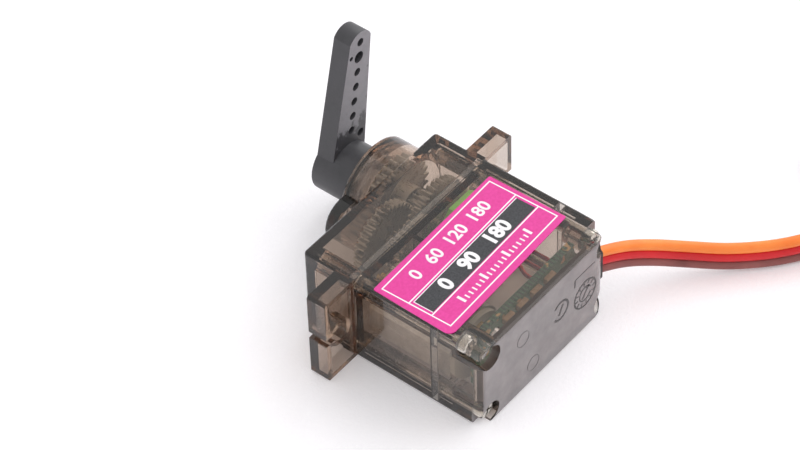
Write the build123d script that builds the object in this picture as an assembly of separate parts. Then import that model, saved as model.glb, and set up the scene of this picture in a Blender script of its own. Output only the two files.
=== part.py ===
from build123d import *
import os
from math import acos, cos, pi, radians, sin, tan

# Micro servo motor lying on its broad side.
# Frame: +X runs along the body towards the output shaft and the lead, +Y along the
# output shaft and out of the tower, +Z up. The origin is the middle of the body's
# length, in the plane where the ears seat, on the resting face. Millimetres.

os.makedirs("parts", exist_ok=True)

# ---- driving dimensions: case ----
HALF = 11.4             # half of the body's length
THICK = 12.0            # body thickness, resting face to label face
MID = THICK / 2
BOTTOM = -17.3          # outer face of the bottom cover
SEAM = -10.35           # bottom cover meets middle case
SEAT = 0.0              # middle case meets gearbox cover, and the ears seat here
COVER_TOP = 6.95
WALL = 0.8
SKIN = 1.1              # end walls, across Y
EDGE = 0.4              # rounding of the long outer edges
CABLE_CORNER = 3.0      # large round where the lead leaves
COVER_CORNER = 0.5      # front corners of the gearbox cover
COVER_CORNER_FAR = 0.5
FLOOR = 0.9             # gearbox floor, part of the middle case
LIP = 0.75              # overlap of the shells at a seam
LIP_THICK = 0.45
GAP = 0.05              # assembly clearance between fixed pieces
RIB_THICK = 0.6
RIB_BACK = -9.2         # the ribs beside the motor start here

# ---- mounting ears ----
EAR_REACH = 16.15
EAR_THICK = 2.45
EAR_HOLE_X = 13.85
EAR_HOLE_R = 1.05
EAR_SLIT = 0.95
EAR_RIM = 0.7
EAR_POCKET = 1.5

# ---- axes of the gear train ----
OUTPUT_X = 5.5
STEP_AB = 6.125         # output axis to gear pin
PIN_X = OUTPUT_X - STEP_AB
STEP_AM = 5.625         # gear pin to motor
MOTOR_X = PIN_X - STEP_AM

TOWER_R = 5.85
TOWER_TOP = 11.2
TOWER_BORE = 5.05
BOSS_R = 2.85
BOSS_TOP = 10.9
BOSS_BORE = 2.2

# ---- gears: module, teeth and places along Y ----
FINE = 0.25
COARSE = 0.35
PRESSURE = radians(25)
BACKLASH = 0.045        # each flank pair is thinned by this at the pitch circle
PINION_TEETH = 9
WHEEL_TEETH = 36
SMALL_TEETH = 13
THIRD_TEETH = 10
OUTPUT_TEETH = 25
PINION_Y = (0.25, 1.7)
FIRST_Y = (0.35, 1.45, 3.4)      # start of the big wheel, the step, end of the small wheel
SECOND_Y = (2.0, 3.1, 5.3)
THIRD_Y = (4.0, 5.25, 9.0)
OUTPUT_Y = (7.0, 8.8)
PIN_R = 0.5
RUNNING = 0.05          # radial running clearance

# ---- motor ----
CAN_R = 4.1
CAN_FLAT = 3.7
CAN_WALL = 0.3
CAN_FRONT = -1.1
CAN_BACK = -12.2
ROTOR_R = 0.4
CAN_BOSS_R = 1.5
BUSH_R = 1.0
MAGNET_Y = (-10.2, -2.4)
CORE_Y = (-9.2, -3.6)
CORE_R = 2.8
COMMUTATOR_R = 1.0
CORE_LONG = CORE_Y[1] - CORE_Y[0]
CORE_MID = (CORE_Y[0] + CORE_Y[1]) / 2
TERMINAL_Z = 2.8        # from the middle plane

# ---- potentiometer ----
POT_SHAFT_R = 0.75
POT_FLAT = 0.4
POT_BACK = -3.6
POT_FRONT = -1.0
POT_HALF_X = 3.0
POT_HALF_Z = 4.75
POT_CORNER = 1.2

# ---- circuit board ----
BOARD_Y = -14.9          # outer side, with the components
BOARD_THICK = 0.8
BOARD_LEFT = -8.9
BOARD_RIGHT = 8.3
BOARD_HALF_Z = 4.7
LEAD_PAD_X = 7.3

# ---- label ----
# The sheet is cut a little out of square and stuck on slightly askew.
LABEL_CORNERS = [(-11.13, -2.53), (-11.28, -13.1), (9.71, -12.35), (9.52, -2.07)]
LABEL_SHARP = 0.2       # radius of three corners
LABEL_ROUND = 0.9       # radius of the corner furthest from the lead and the shaft
LABEL_THICK = 0.1

# ---- case screws ----
SCREW_X = 9.9
SCREW_Z = 4.3           # from the middle plane
SCREW_R = 0.55
HEAD_R = 1.15
HEAD_TALL = 1.0
NEAR_DEPTH = 1.5        # seats of the two screws in open corner notches
CABLE_DEPTH = 2.3
SUNK_DEPTH = 3.6        # seats of the two screws in deep wells
WELL_R = 1.55
PILLAR_R = 1.0
WELL_WALL = 0.3         # wall of a deep well, and of the pillars down to it
NOTCH = 2.2             # reach of the open corner notches, past every outer face
BELOW_MOTOR = CAN_BACK - 0.75    # the pillars are thicker up to here

# ---- bearing ----
BEARING_Y = 9.45
BEARING_WIDE = 1.5
BEARING_BORE = 2.5
BEARING_OUT = 3.9
BALL_R = 0.36
BALL_RING = 3.2
BALLS = 9

# ---- horn ----
HUB_BACK = 11.6
HUB_FRONT = 17.3
HUB_R = 3.5
ARM_BACK = 14.9
ARM_LENGTH = 18.7
ARM_TILT = 10.5         # degrees, from +Z towards +X at rest
ARM_ROOT = 2.9          # half widths
ARM_TIP = 1.77
TIP_RISE = 1.1          # height of the rounded end over its corners
SPLINE_R = 2.4
SPLINE_TEETH = 21
HORN_HOLES = 7
HORN_HOLE_FIRST = 5.3
HORN_PITCH = 2.0
HORN_HOLE_R = 0.5
WIDE_HOLE = 1.45        # the last but one hole is larger by this factor

# ---- lead ----
WIRE = 1.25             # diameter of one of the three wires
PLUG_PITCH = 2.54
TIE_THICK = 0.35
TIE_HALF = 1.2
TIE_TURN = -166.3       # degrees, where the tie sits round the coil
COIL_LIFT = TIE_THICK   # the coil lies on its tie
COIL_TOP = COIL_LIFT + 3 * WIRE + 0.05
COIL_X = 35.5
COIL_Y = -45.5
COIL_R = 10.4
COIL_HOLE = 2.4
EXIT_Y = -15.3
EXIT_Z = 5.6
LEAD_CORE_R = 0.52      # the wires are squeezed a little inside the grommet
GROMMET_BACK = 9.7
GROMMET_FRONT = 11.45
SLOT_HALF_Y = 0.9       # the grommet's half sizes in the cable slot
SLOT_HALF_Z = 2.3
PLUG_BACK = -36.6
PLUG_LONG = 14.0
PLUG_WIDE = 7.7
PLUG_TALL = 2.6

# Middle line of the three-wire ribbon: (x, y, z, turn). A turn of 0 stacks the wires
# one above the other, and 90 lays them side by side.
LEAD_OUT = [
    (11.45, -15.30, 5.60, 0),
    (14.0, -16.2, 5.05, 0),
    (17.2, -18.2, 3.95, 0),
    (20.4, -21.1, 2.75, 0),
    (23.6, -24.9, 2.05, 0),
    (28.2, -29.3, 1.90, 0),
    (33.2, -32.1, 1.92, 0),
    (38.0, -35.75, 2.10, 0),
    (40.76, -37.96, 2.23, 0),
]
LEAD_TAIL = [
    (45.6, -45.5, 2.23, 0),
    (45.65, -43.2, 2.20, 12),
    (45.85, -40.95, 2.00, 42),
    (45.9, -38.75, 1.60, 76),
    (45.7, -36.6, 1.30, 90),
]


def export(shape, name, colour):
    shape.label = name
    shape.color = Color(*colour)
    export_step(shape, f"parts/{name}.step")


def group(shapes):
    return Compound(children=list(shapes))


def block(x0, x1, y0, y1, z0, z1):
    middle = ((x0 + x1) / 2, (y0 + y1) / 2, (z0 + z1) / 2)
    return Pos(*middle) * Box(x1 - x0, y1 - y0, z1 - z0)


def rod(x, z, y0, y1, radius):
    return Pos(x, (y0 + y1) / 2, z) * Rot(90, 0, 0) * Cylinder(radius, y1 - y0)


def ring(x, z, y0, y1, outer, inner):
    return rod(x, z, y0, y1, outer) - rod(x, z, y0 - 1, y1 + 1, inner)


def facing_y(x, y, z):
    """Sketch plane across Y, whose local x is +X and whose normal is +Y."""
    return Plane(origin=(x, y, z), x_dir=(1, 0, 0), z_dir=(0, 1, 0))


def along_y(sketch, x, y0, y1, z):
    return extrude(facing_y(x, y0, z) * sketch, y1 - y0)


def mirrored_corners():
    """The four screw axes, as (x, z)."""
    return [(sx * SCREW_X, MID + sz * SCREW_Z) for sx in (-1, 1) for sz in (-1, 1)]


def is_open(x, z):
    """Two diagonal screws sit in open corner notches, the other two in deep wells."""
    return x * (z - MID) > 0


def screw_seat(x, z):
    """Where a screw's head bears on the bottom cover."""
    if is_open(x, z):
        return BOTTOM + (CABLE_DEPTH if x > 0 else NEAR_DEPTH)
    return BOTTOM + SUNK_DEPTH


# ---- gears ----

def half_angle(radius, pitch_r, base_r, thickness):
    """Half of the angle that a tooth covers at a radius, for an involute flank."""
    def involute(angle):
        return tan(angle) - angle
    local = acos(min(1.0, base_r / max(radius, base_r)))
    return thickness / (2 * pitch_r) + involute(PRESSURE) - involute(local)


def tooth_outline(teeth, module, first_tooth):
    """Closed outline of a spur gear, with its first tooth centred at an angle."""
    pitch_r = module * teeth / 2
    base_r = pitch_r * cos(PRESSURE)
    root_r = pitch_r - 1.15 * module
    tip_r = pitch_r + 0.9 * module
    thickness = pi * module / 2 - BACKLASH
    flank = [root_r] + [max(root_r, base_r) + (tip_r - max(root_r, base_r)) * k / 4 for k in range(5)]
    if base_r <= root_r:
        flank = flank[1:]
    points = []
    for index in range(teeth):
        centre = radians(first_tooth) + 2 * pi * index / teeth
        rising = [(r, centre - half_angle(r, pitch_r, base_r, thickness)) for r in flank]
        falling = [(r, centre + half_angle(r, pitch_r, base_r, thickness)) for r in reversed(flank)]
        points += [(r * cos(a), r * sin(a)) for r, a in rising + falling]
    return points


def gear(teeth, module, x, y0, y1, first_tooth=0.0):
    outline = Polyline(*tooth_outline(teeth, module, first_tooth), close=True)
    return along_y(make_face(outline), x, y0, y1, MID)


def meshing_gap(teeth, towards):
    """First-tooth angle that leaves a gap centred at the angle where the mate is."""
    return towards + 180.0 / teeth


# ---- case ----

def outer_profile(y0, y1, low_left=0.0, low_right=0.0, high_left=0.0, high_right=0.0, inset=0.0):
    """Side outline of a shell in the XY plane, with its corners rounded."""
    side = HALF - inset
    face = make_face(Polyline((-side, y0), (side, y0), (side, y1), (-side, y1), close=True))
    corners = {(-1, 0): low_left, (1, 0): low_right, (-1, 1): high_left, (1, 1): high_right}
    for (across, up), radius in corners.items():
        if radius > 0:
            ordered = face.vertices().sort_by(Axis.X)
            end = ordered[:2] if across < 0 else ordered[-2:]
            face = fillet(end.sort_by(Axis.Y)[-1 if up else 0], radius)
    return face


def shell_block(profile, low=0.0, high=THICK):
    return extrude(Pos(0, 0, low) * profile, high - low)


def soften(body, keep_y, radius=EDGE):
    """Round the outline edges on both broad faces, except those in the seam planes."""
    rims = body.edges().filter_by(lambda e: abs(e.center().Z) < 0.01 or abs(e.center().Z - THICK) < 0.01)
    wanted = [e for e in rims if all(abs(e.center().Y - y) > 0.01 for y in keep_y)]
    return fillet(wanted, radius)


def make_bottom_cover():
    profile = outer_profile(BOTTOM, SEAM, low_left=0.6, low_right=CABLE_CORNER)
    outer = soften(shell_block(profile), [SEAM])
    inner = outer_profile(BOTTOM + SKIN, SEAM + 1, low_left=0.5, low_right=CABLE_CORNER - 0.8, inset=WALL)
    hollow = shell_block(inner, WALL, THICK - WALL)
    for x, z in mirrored_corners():
        hollow -= rod(x, z, BOTTOM, BELOW_MOTOR, WELL_R + WELL_WALL)
        hollow -= rod(x, z, BOTTOM, SEAM + 2, PILLAR_R)
    body = outer - hollow
    body -= lip_space(SEAM - LIP - GAP, SEAM)
    for x, z in mirrored_corners():
        body -= rod(x, z, BOTTOM - 1, SEAM + 1, SCREW_R + GAP)
        seat = screw_seat(x, z)
        if is_open(x, z):
            across = sorted((x, x + (NOTCH if x > 0 else -NOTCH)))
            upright = sorted((z, z + (NOTCH if z > MID else -NOTCH)))
            body -= rod(x, z, BOTTOM - 1, seat, HEAD_R + 0.2)
            body -= block(*across, BOTTOM - 1, seat, *upright)
        else:
            body -= rod(x, z, BOTTOM - 1, seat, WELL_R)
    # cable slot through the rounded corner
    across = SLOT_HALF_Y + GAP
    upright = SLOT_HALF_Z + GAP
    body -= block(HALF - 2.6, HALF + 1, EXIT_Y - across, EXIT_Y + across, EXIT_Z - upright, EXIT_Z + upright)
    return body


def lip_space(y0, y1):
    """The band that a seam lip fills, grown by the assembly clearance."""
    inset = WALL - LIP_THICK - GAP
    band = block(-HALF + inset, HALF - inset, y0, y1, inset, THICK - inset)
    inset = WALL + 0.02
    return band - block(-HALF + inset, HALF - inset, y0 - 1, y1 + 1, inset, THICK - inset)


def seam_lip(y0, y1):
    """Thin tongue that steps inside the next shell."""
    inset = WALL - LIP_THICK
    band = block(-HALF + inset, HALF - inset, y0, y1, inset, THICK - inset)
    return band - block(-HALF + WALL, HALF - WALL, y0 - 1, y1 + 1, WALL, THICK - WALL)


def make_middle_case():
    outer = soften(shell_block(outer_profile(SEAM, SEAT)), [SEAM, SEAT])
    hollow = block(-HALF + WALL, HALF - WALL, SEAM - 1, SEAT - FLOOR, WALL, THICK - WALL)
    for x, z in mirrored_corners():
        hollow -= rod(x, z, SEAM - 2, SEAT, PILLAR_R)
    body = outer - hollow
    body += seam_lip(SEAM - LIP, SEAM)
    body += seam_lip(SEAT, SEAT + LIP)
    for x, z in mirrored_corners():
        body -= rod(x, z, SEAM - 2, SEAM, 2.0)
        body -= rod(x, z, SEAT, SEAT + 2, 1.4)
    # rib between motor and potentiometer, and a cradle under the motor
    rib = MOTOR_X + CAN_FLAT + 0.15
    body += block(rib, rib + RIB_THICK, RIB_BACK, SEAT - FLOOR, WALL, THICK - WALL)
    for side in (-1, 1):
        edge = MID + side * (MID - WALL)
        inward = edge - side * 0.75
        low, high = min(edge, inward), max(edge, inward)
        body += block(MOTOR_X - 0.5, MOTOR_X + 0.5, RIB_BACK, SEAT - FLOOR, low, high)
    body -= rod(MOTOR_X, MID, SEAT - 2, SEAT + 1, CAN_BOSS_R + 0.1)
    body -= rod(OUTPUT_X, MID, SEAT - 2, SEAT + 1, 1.25)
    body += rod(PIN_X, MID, SEAT - FLOOR - 0.6, SEAT, 1.1)
    body -= rod(PIN_X, MID, SEAT - FLOOR + 0.1, SEAT + 1, PIN_R)
    for x, z in mirrored_corners():
        body -= rod(x, z, SEAM - 2, SEAT + 2, SCREW_R + GAP)
    return body


def make_ear(side):
    inner = HALF - (WALL - LIP_THICK - GAP)     # clear of the seam lip
    low, high = sorted((side * inner, side * EAR_REACH))
    body = block(low, high, SEAT, SEAT + EAR_THICK, 0, THICK)
    tips = body.edges().filter_by(Axis.Y).filter_by(lambda e: abs(abs(e.center().X) - EAR_REACH) < 0.01)
    body = fillet(tips, EDGE)
    tip_low, tip_high = sorted((side * (HALF + 0.45), side * (EAR_REACH - EAR_RIM)))
    pocket = block(tip_low, tip_high, SEAT - 1, SEAT + EAR_POCKET, EAR_RIM, THICK - EAR_RIM)
    pocket -= rod(side * EAR_HOLE_X, MID, SEAT - 2, SEAT + 4, EAR_HOLE_R + 0.65)
    middle = EAR_SLIT / 2 + 0.6
    pocket -= block(min(side * EAR_HOLE_X, side * EAR_REACH), max(side * EAR_HOLE_X, side * EAR_REACH),
                    SEAT - 2, SEAT + 4, MID - middle, MID + middle)
    body -= pocket
    body -= rod(side * EAR_HOLE_X, MID, SEAT - 1, SEAT + 4, EAR_HOLE_R)
    out_low, out_high = sorted((side * EAR_HOLE_X, side * (EAR_REACH + 1)))
    body -= block(out_low, out_high, SEAT - 1, SEAT + 4, MID - EAR_SLIT / 2, MID + EAR_SLIT / 2)
    return body


def make_gearbox_cover():
    profile = outer_profile(SEAT, COVER_TOP, high_left=COVER_CORNER, high_right=COVER_CORNER_FAR)
    body = soften(shell_block(profile), [SEAT])
    tower = rod(OUTPUT_X, MID, COVER_TOP - 1, TOWER_TOP, TOWER_R)
    tower = fillet(tower.edges().filter_by(GeomType.CIRCLE).sort_by(Axis.Y)[-1], 0.25)
    boss = rod(PIN_X, MID, COVER_TOP - 1, BOSS_TOP, BOSS_R)
    boss = fillet(boss.edges().filter_by(GeomType.CIRCLE).sort_by(Axis.Y)[-1], 0.4)
    body = body + tower + boss
    inner = outer_profile(SEAT - 1, COVER_TOP - SKIN, high_left=0.5, high_right=0.3, inset=WALL)
    hollow = shell_block(inner, WALL, THICK - WALL)
    for x, z in mirrored_corners():
        hollow -= rod(x, z, SEAT - 2, COVER_TOP, PILLAR_R)
    body -= hollow
    body -= rod(OUTPUT_X, MID, SEAT + 1, BEARING_Y - 0.3, TOWER_BORE)
    body -= rod(PIN_X, MID, SEAT + 1, BOSS_TOP - 1.5, BOSS_BORE)
    body -= rod(PIN_X, MID, SEAT + 1, BOSS_TOP - 0.7, PIN_R)
    body -= rod(OUTPUT_X, MID, SEAT + 1, BEARING_Y + BEARING_WIDE, BEARING_OUT)
    body -= rod(OUTPUT_X, MID, SEAT + 1, TOWER_TOP + 1, BEARING_BORE + 0.6)
    body -= lip_space(SEAT, SEAT + LIP + GAP)
    for x, z in mirrored_corners():
        body -= rod(x, z, SEAT - 1, COVER_TOP - 1.6, SCREW_R)
    return body + make_ear(-1) + make_ear(1)


def make_case_screws():
    screws = []
    for x, z in mirrored_corners():
        seat = screw_seat(x, z)
        head = rod(x, z, seat - HEAD_TALL + 0.05, seat, HEAD_R)
        rim = head.edges().filter_by(GeomType.CIRCLE).sort_by(Axis.Y)[0]
        head = fillet(rim, 0.45)
        for turn in (0, 90):
            bar = Pos(x, seat - HEAD_TALL + 0.25, z) * Rot(0, turn + 20, 0) * Box(1.35, 0.5, 0.3)
            head -= bar
        shank = rod(x, z, seat, COVER_TOP - 1.9, SCREW_R - 0.02)
        tip = Pos(x, COVER_TOP - 1.9, z) * Rot(-90, 0, 0)
        tip = tip * Cone(SCREW_R - 0.02, 0.1, 0.3, align=(Align.CENTER, Align.CENTER, Align.MIN))
        screws.append(head + shank + tip)
    return group(screws)


def make_label():
    sheet = make_face(Polyline(*LABEL_CORNERS, close=True))
    sheet = fillet(sheet.vertices().sort_by(Axis.X)[1:], LABEL_SHARP)
    sheet = fillet(sheet.vertices().sort_by(Axis.X)[0], LABEL_ROUND)
    return extrude(Pos(0, 0, THICK) * sheet, LABEL_THICK)


# ---- motor ----

def flat_sided(y0, y1, radius, flat):
    """Round bar with a flat on each X side, on the motor's axis."""
    keep = block(MOTOR_X - flat, MOTOR_X + flat, y0 - 1, y1 + 1, MID - 10, MID + 10)
    return rod(MOTOR_X, MID, y0, y1, radius) & keep


def make_motor_can():
    can = flat_sided(CAN_BACK, CAN_FRONT, CAN_R, CAN_FLAT)
    can = fillet(can.faces().sort_by(Axis.Y)[-1].edges(), 0.35)
    can -= flat_sided(CAN_BACK - 1, CAN_FRONT - CAN_WALL, CAN_R - CAN_WALL, CAN_FLAT - CAN_WALL)
    can += ring(MOTOR_X, MID, CAN_FRONT - CAN_WALL, SEAT - 0.25, CAN_BOSS_R, BUSH_R)
    can -= rod(MOTOR_X, MID, CAN_FRONT - 2, SEAT, BUSH_R)
    for side in (-1, 1):
        can -= rod(MOTOR_X + side * 2.4, MID, CAN_FRONT - 2, SEAT, 0.4)
    return can


def make_motor_end_cap():
    cap = flat_sided(CAN_BACK, CAN_BACK + 0.9, CAN_R - CAN_WALL - GAP, CAN_FLAT - CAN_WALL - GAP)
    cap += flat_sided(CAN_BACK - 0.6, CAN_BACK, CAN_R - 0.3, CAN_FLAT)
    cap += rod(MOTOR_X, MID, CAN_BACK - 1.1, CAN_BACK + 0.9, 1.6)
    cap -= rod(MOTOR_X, MID, CAN_BACK - 0.7, CAN_BACK + 2, BUSH_R)
    for side in (-1, 1):
        cap -= block(MOTOR_X - 0.55, MOTOR_X + 0.55, CAN_BACK - 3, CAN_BACK + 3,
                     MID + side * TERMINAL_Z - 0.2, MID + side * TERMINAL_Z + 0.2)
    return cap


def make_motor_bushes():
    front = ring(MOTOR_X, MID, CAN_FRONT - CAN_WALL, SEAT - 0.3, BUSH_R, ROTOR_R + 0.03)
    back = ring(MOTOR_X, MID, CAN_BACK - 0.65, CAN_BACK + 0.6, BUSH_R, ROTOR_R + 0.03)
    return group([front, back])


def make_motor_magnets():
    magnets = []
    for side in (-1, 1):
        arc = ring(MOTOR_X, MID, *MAGNET_Y, CAN_R - CAN_WALL - 0.02, CORE_R + 0.25)
        arc &= block(MOTOR_X - 2.6, MOTOR_X + 2.6, *MAGNET_Y, *sorted((MID + side * 1.7, MID + side * 5)))
        magnets.append(arc)
    return group(magnets)


def make_motor_terminals():
    tabs = []
    for side in (-1, 1):
        z = MID + side * TERMINAL_Z
        tabs.append(block(MOTOR_X - 0.5, MOTOR_X + 0.5, BOARD_Y - 0.3, CAN_BACK + 0.9, z - 0.15, z + 0.15))
    return group(tabs)


def make_motor_brushes():
    brushes = []
    left, right = MOTOR_X - 0.45, MOTOR_X + 0.45
    base = CAN_BACK + 0.95
    for side in (-1, 1):
        z = MID + side * (COMMUTATOR_R + 0.05)
        leaf = block(left, right, base, base + 0.95, *sorted((z, z + side * 0.12)))
        foot = block(left, right, base, base + 0.2, *sorted((z, MID + side * (TERMINAL_Z + 0.15))))
        brushes.append(leaf + foot)
    return group(brushes)


def make_armature_core():
    core = ring(MOTOR_X, MID, *CORE_Y, 1.0, ROTOR_R)
    for index in range(3):
        turn = Pos(MOTOR_X, 0, MID) * Rot(0, 120 * index, 0)
        neck = Pos(1.6, CORE_MID, 0) * Box(2.0, CORE_LONG, 0.6)
        shoe = ring(0, 0, *CORE_Y, CORE_R, CORE_R - 0.45)
        wedge = make_face(Polyline((0, 0), (4, 3.6), (4, -3.6), close=True))
        shoe &= along_y(wedge, 0, *CORE_Y, 0)
        core += turn * (neck + shoe)
    return core


def make_armature_windings():
    coils = []
    for index in range(3):
        turn = Pos(MOTOR_X, 0, MID) * Rot(0, 120 * index, 0)
        coil = Pos(1.68, CORE_MID, 0) * Box(1.0, CORE_LONG + 1.4, 1.5)
        coil = fillet(coil.edges().filter_by(Axis.X), 0.4)
        coil -= Pos(1.6, CORE_MID, 0) * Box(2.2, CORE_LONG + 0.02, 0.62)
        coils.append(turn * coil)
    return group(coils)


def make_commutator():
    drum = ring(MOTOR_X, MID, CAN_BACK + 0.95, -9.95, COMMUTATOR_R, ROTOR_R)
    for index in range(3):
        slot = Pos(MOTOR_X, 0, MID) * Rot(0, 120 * index + 60, 0) * Pos(1.02, -10.7, 0) * Box(0.3, 3.0, 0.12)
        drum -= slot
    return drum


def make_motor_shaft():
    return rod(MOTOR_X, MID, CAN_BACK - 0.6, PINION_Y[1] + 0.2, ROTOR_R)


def make_motor_pinion():
    wheel = gear(PINION_TEETH, FINE, MOTOR_X, PINION_Y[0], PINION_Y[1])
    return wheel - rod(MOTOR_X, MID, PINION_Y[0] - 1, PINION_Y[1] + 1, ROTOR_R)


# ---- gear train ----

def compound_gear(x, places, big, small, bore):
    """Two spur wheels in one piece: each is (teeth, module, first tooth angle)."""
    low, step, high = places
    body = gear(big[0], big[1], x, low, step, big[2])
    body += gear(small[0], small[1], x, step, high, small[2])
    return body - rod(x, MID, low - 1, high + 1, bore)


def lightening_holes(body, x, y0, y1, ring_r, radius, count):
    for index in range(count):
        angle = 2 * pi * (index + 0.5) / count
        body -= rod(x + ring_r * cos(angle), MID + ring_r * sin(angle), y0 - 0.1, y1 + 0.1, radius)
    return body


def make_first_gear():
    big = (WHEEL_TEETH, FINE, meshing_gap(WHEEL_TEETH, 180))
    body = compound_gear(PIN_X, FIRST_Y, big, (SMALL_TEETH, FINE, 0), PIN_R + RUNNING)
    return lightening_holes(body, PIN_X, FIRST_Y[0], FIRST_Y[1], 3.0, 0.65, 5)


def make_second_gear():
    big = (WHEEL_TEETH, FINE, meshing_gap(WHEEL_TEETH, 180))
    return compound_gear(OUTPUT_X, SECOND_Y, big, (SMALL_TEETH, FINE, 180), POT_SHAFT_R + 0.07)


def make_third_gear():
    big = (WHEEL_TEETH, FINE, meshing_gap(WHEEL_TEETH, 0))
    return compound_gear(PIN_X, THIRD_Y, big, (THIRD_TEETH, COARSE, 0), PIN_R + RUNNING)


def spline(x, y0, y1, radius, depth, teeth, grow=0.0):
    """Straight-sided serration around a shaft."""
    points = []
    for index in range(teeth * 2):
        angle = pi * index / teeth
        reach = radius + grow if index % 2 == 0 else radius - depth + grow
        points.append((reach * cos(angle), reach * sin(angle)))
    return along_y(make_face(Polyline(*points, close=True)), x, y0, y1, MID)


def make_output_gear():
    phase = meshing_gap(OUTPUT_TEETH, 180)
    body = gear(OUTPUT_TEETH, COARSE, OUTPUT_X, OUTPUT_Y[0], OUTPUT_Y[1], phase)
    body += rod(OUTPUT_X, MID, 5.5, OUTPUT_Y[0], 1.9)
    body += rod(OUTPUT_X, MID, OUTPUT_Y[1], BEARING_Y - 0.1, 2.85)
    body += rod(OUTPUT_X, MID, BEARING_Y - 0.1, TOWER_TOP + 0.1, BEARING_BORE)
    body += spline(OUTPUT_X, TOWER_TOP + 0.1, 14.7, SPLINE_R, 0.2, SPLINE_TEETH)
    body -= rod(OUTPUT_X, MID, 10.4, 15, 0.8)
    socket = rod(OUTPUT_X, MID, 5, 8.2, POT_SHAFT_R + 0.03)
    socket &= block(OUTPUT_X - 1, OUTPUT_X + POT_FLAT + 0.03, 4, 9, MID - 2, MID + 2)
    return body - socket


def make_gear_pin():
    return rod(PIN_X, MID, SEAT - FLOOR + 0.15, BOSS_TOP - 0.75, PIN_R - 0.01)


def make_spacer_washers():
    low = ring(PIN_X, MID, SEAT + 0.02, FIRST_Y[0] - 0.08, 1.0, PIN_R + 0.02)
    middle = ring(PIN_X, MID, FIRST_Y[2] + 0.1, THIRD_Y[0] - 0.1, 0.95, PIN_R + 0.02)
    return group([low, middle])


# ---- output bearing ----

def make_bearing_outer():
    race = ring(OUTPUT_X, MID, BEARING_Y, BEARING_Y + BEARING_WIDE, BEARING_OUT, BALL_RING + 0.22)
    return race - ball_groove(0.02)


def make_bearing_inner():
    race = ring(OUTPUT_X, MID, BEARING_Y, BEARING_Y + BEARING_WIDE, BALL_RING - 0.22, BEARING_BORE + 0.01)
    return race - ball_groove(0.02)


def ball_groove(clearance):
    path = Pos(OUTPUT_X, BEARING_Y + BEARING_WIDE / 2, MID) * Rot(90, 0, 0)
    return path * Torus(BALL_RING, BALL_R + clearance)


def ball_places():
    step = 2 * pi / BALLS
    return [(OUTPUT_X + BALL_RING * cos(k * step), MID + BALL_RING * sin(k * step)) for k in range(BALLS)]


def make_bearing_balls():
    y = BEARING_Y + BEARING_WIDE / 2
    return group([Pos(x, y, z) * Sphere(BALL_R) for x, z in ball_places()])


def make_ball_cage():
    y = BEARING_Y + BEARING_WIDE / 2
    cage = ring(OUTPUT_X, MID, y - 0.62, y + 0.2, BALL_RING + 0.14, BALL_RING - 0.14)
    for x, z in ball_places():
        cage -= rod(x, z, y - BALL_R - 0.04, y + 1, BALL_R + 0.02)
    return cage


# ---- potentiometer ----

def make_pot_housing():
    body = block(OUTPUT_X - POT_HALF_X, OUTPUT_X + POT_HALF_X, POT_BACK + 0.7, POT_FRONT, MID - POT_HALF_Z,
                 MID + POT_HALF_Z)
    body = chamfer(body.edges().filter_by(Axis.Y), POT_CORNER)
    body -= rod(OUTPUT_X, MID, POT_BACK, POT_FRONT - 0.5, 2.75)
    return body - rod(OUTPUT_X, MID, POT_BACK, 0, POT_SHAFT_R + 0.05)


def make_pot_base():
    body = block(OUTPUT_X - POT_HALF_X, OUTPUT_X + POT_HALF_X, POT_BACK, POT_BACK + 0.7, MID - POT_HALF_Z,
                 MID + POT_HALF_Z)
    body = chamfer(body.edges().filter_by(Axis.Y), POT_CORNER)
    for x, z in pot_pins():
        body -= rod(x, z, POT_BACK - 1, POT_BACK + 2, 0.3)
    return body


def pot_pins():
    return [(OUTPUT_X + 2.2, MID + k * 2.2) for k in (-1, 0, 1)]


def make_pot_terminals():
    return group([rod(x, z, POT_BACK - 1.2, POT_BACK + 0.65, 0.28) for x, z in pot_pins()])


def make_pot_shaft():
    shaft = rod(OUTPUT_X, MID, POT_BACK + 1.2, 8.0, POT_SHAFT_R)
    flat = block(OUTPUT_X + POT_FLAT, OUTPUT_X + 2, 5.4, 9, MID - 2, MID + 2)
    return shaft - flat


def make_pot_wiper():
    hub = ring(OUTPUT_X, MID, POT_BACK + 1.3, POT_BACK + 1.9, 1.5, POT_SHAFT_R)
    arm = block(OUTPUT_X - 2.5, OUTPUT_X - 1.0, POT_BACK + 1.3, POT_BACK + 1.5, MID - 0.5, MID + 0.5)
    tip = block(OUTPUT_X - 2.5, OUTPUT_X - 2.1, POT_BACK + 0.8, POT_BACK + 1.5, MID - 0.5, MID + 0.5)
    return hub + arm + tip


# ---- electronics ----

def make_circuit_board():
    board = block(BOARD_LEFT, BOARD_RIGHT, BOARD_Y, BOARD_Y + BOARD_THICK, MID - BOARD_HALF_Z,
                  MID + BOARD_HALF_Z)
    for x, z in mirrored_corners():
        board -= rod(x, z, BOARD_Y - 1, BOARD_Y + 2, 2.2)
    for side in (-1, 1):
        z = MID + side * TERMINAL_Z
        board -= block(MOTOR_X - 0.55, MOTOR_X + 0.55, BOARD_Y - 1, BOARD_Y + 2, z - 0.2, z + 0.2)
    for x, z in board_holes():
        board -= rod(x, z, BOARD_Y - 1, BOARD_Y + 2, 0.32)
    return board


def board_holes():
    """Where the potentiometer wires pass through the board."""
    return [(x - 1.6, z) for x, z in pot_pins()]


def chip(x, z, long, wide, tall):
    body = block(x - long / 2, x + long / 2, BOARD_Y - tall, BOARD_Y - 0.1, z - wide / 2, z + wide / 2)
    return chamfer(body.faces().sort_by(Axis.Y)[0].edges(), 0.12)


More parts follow.
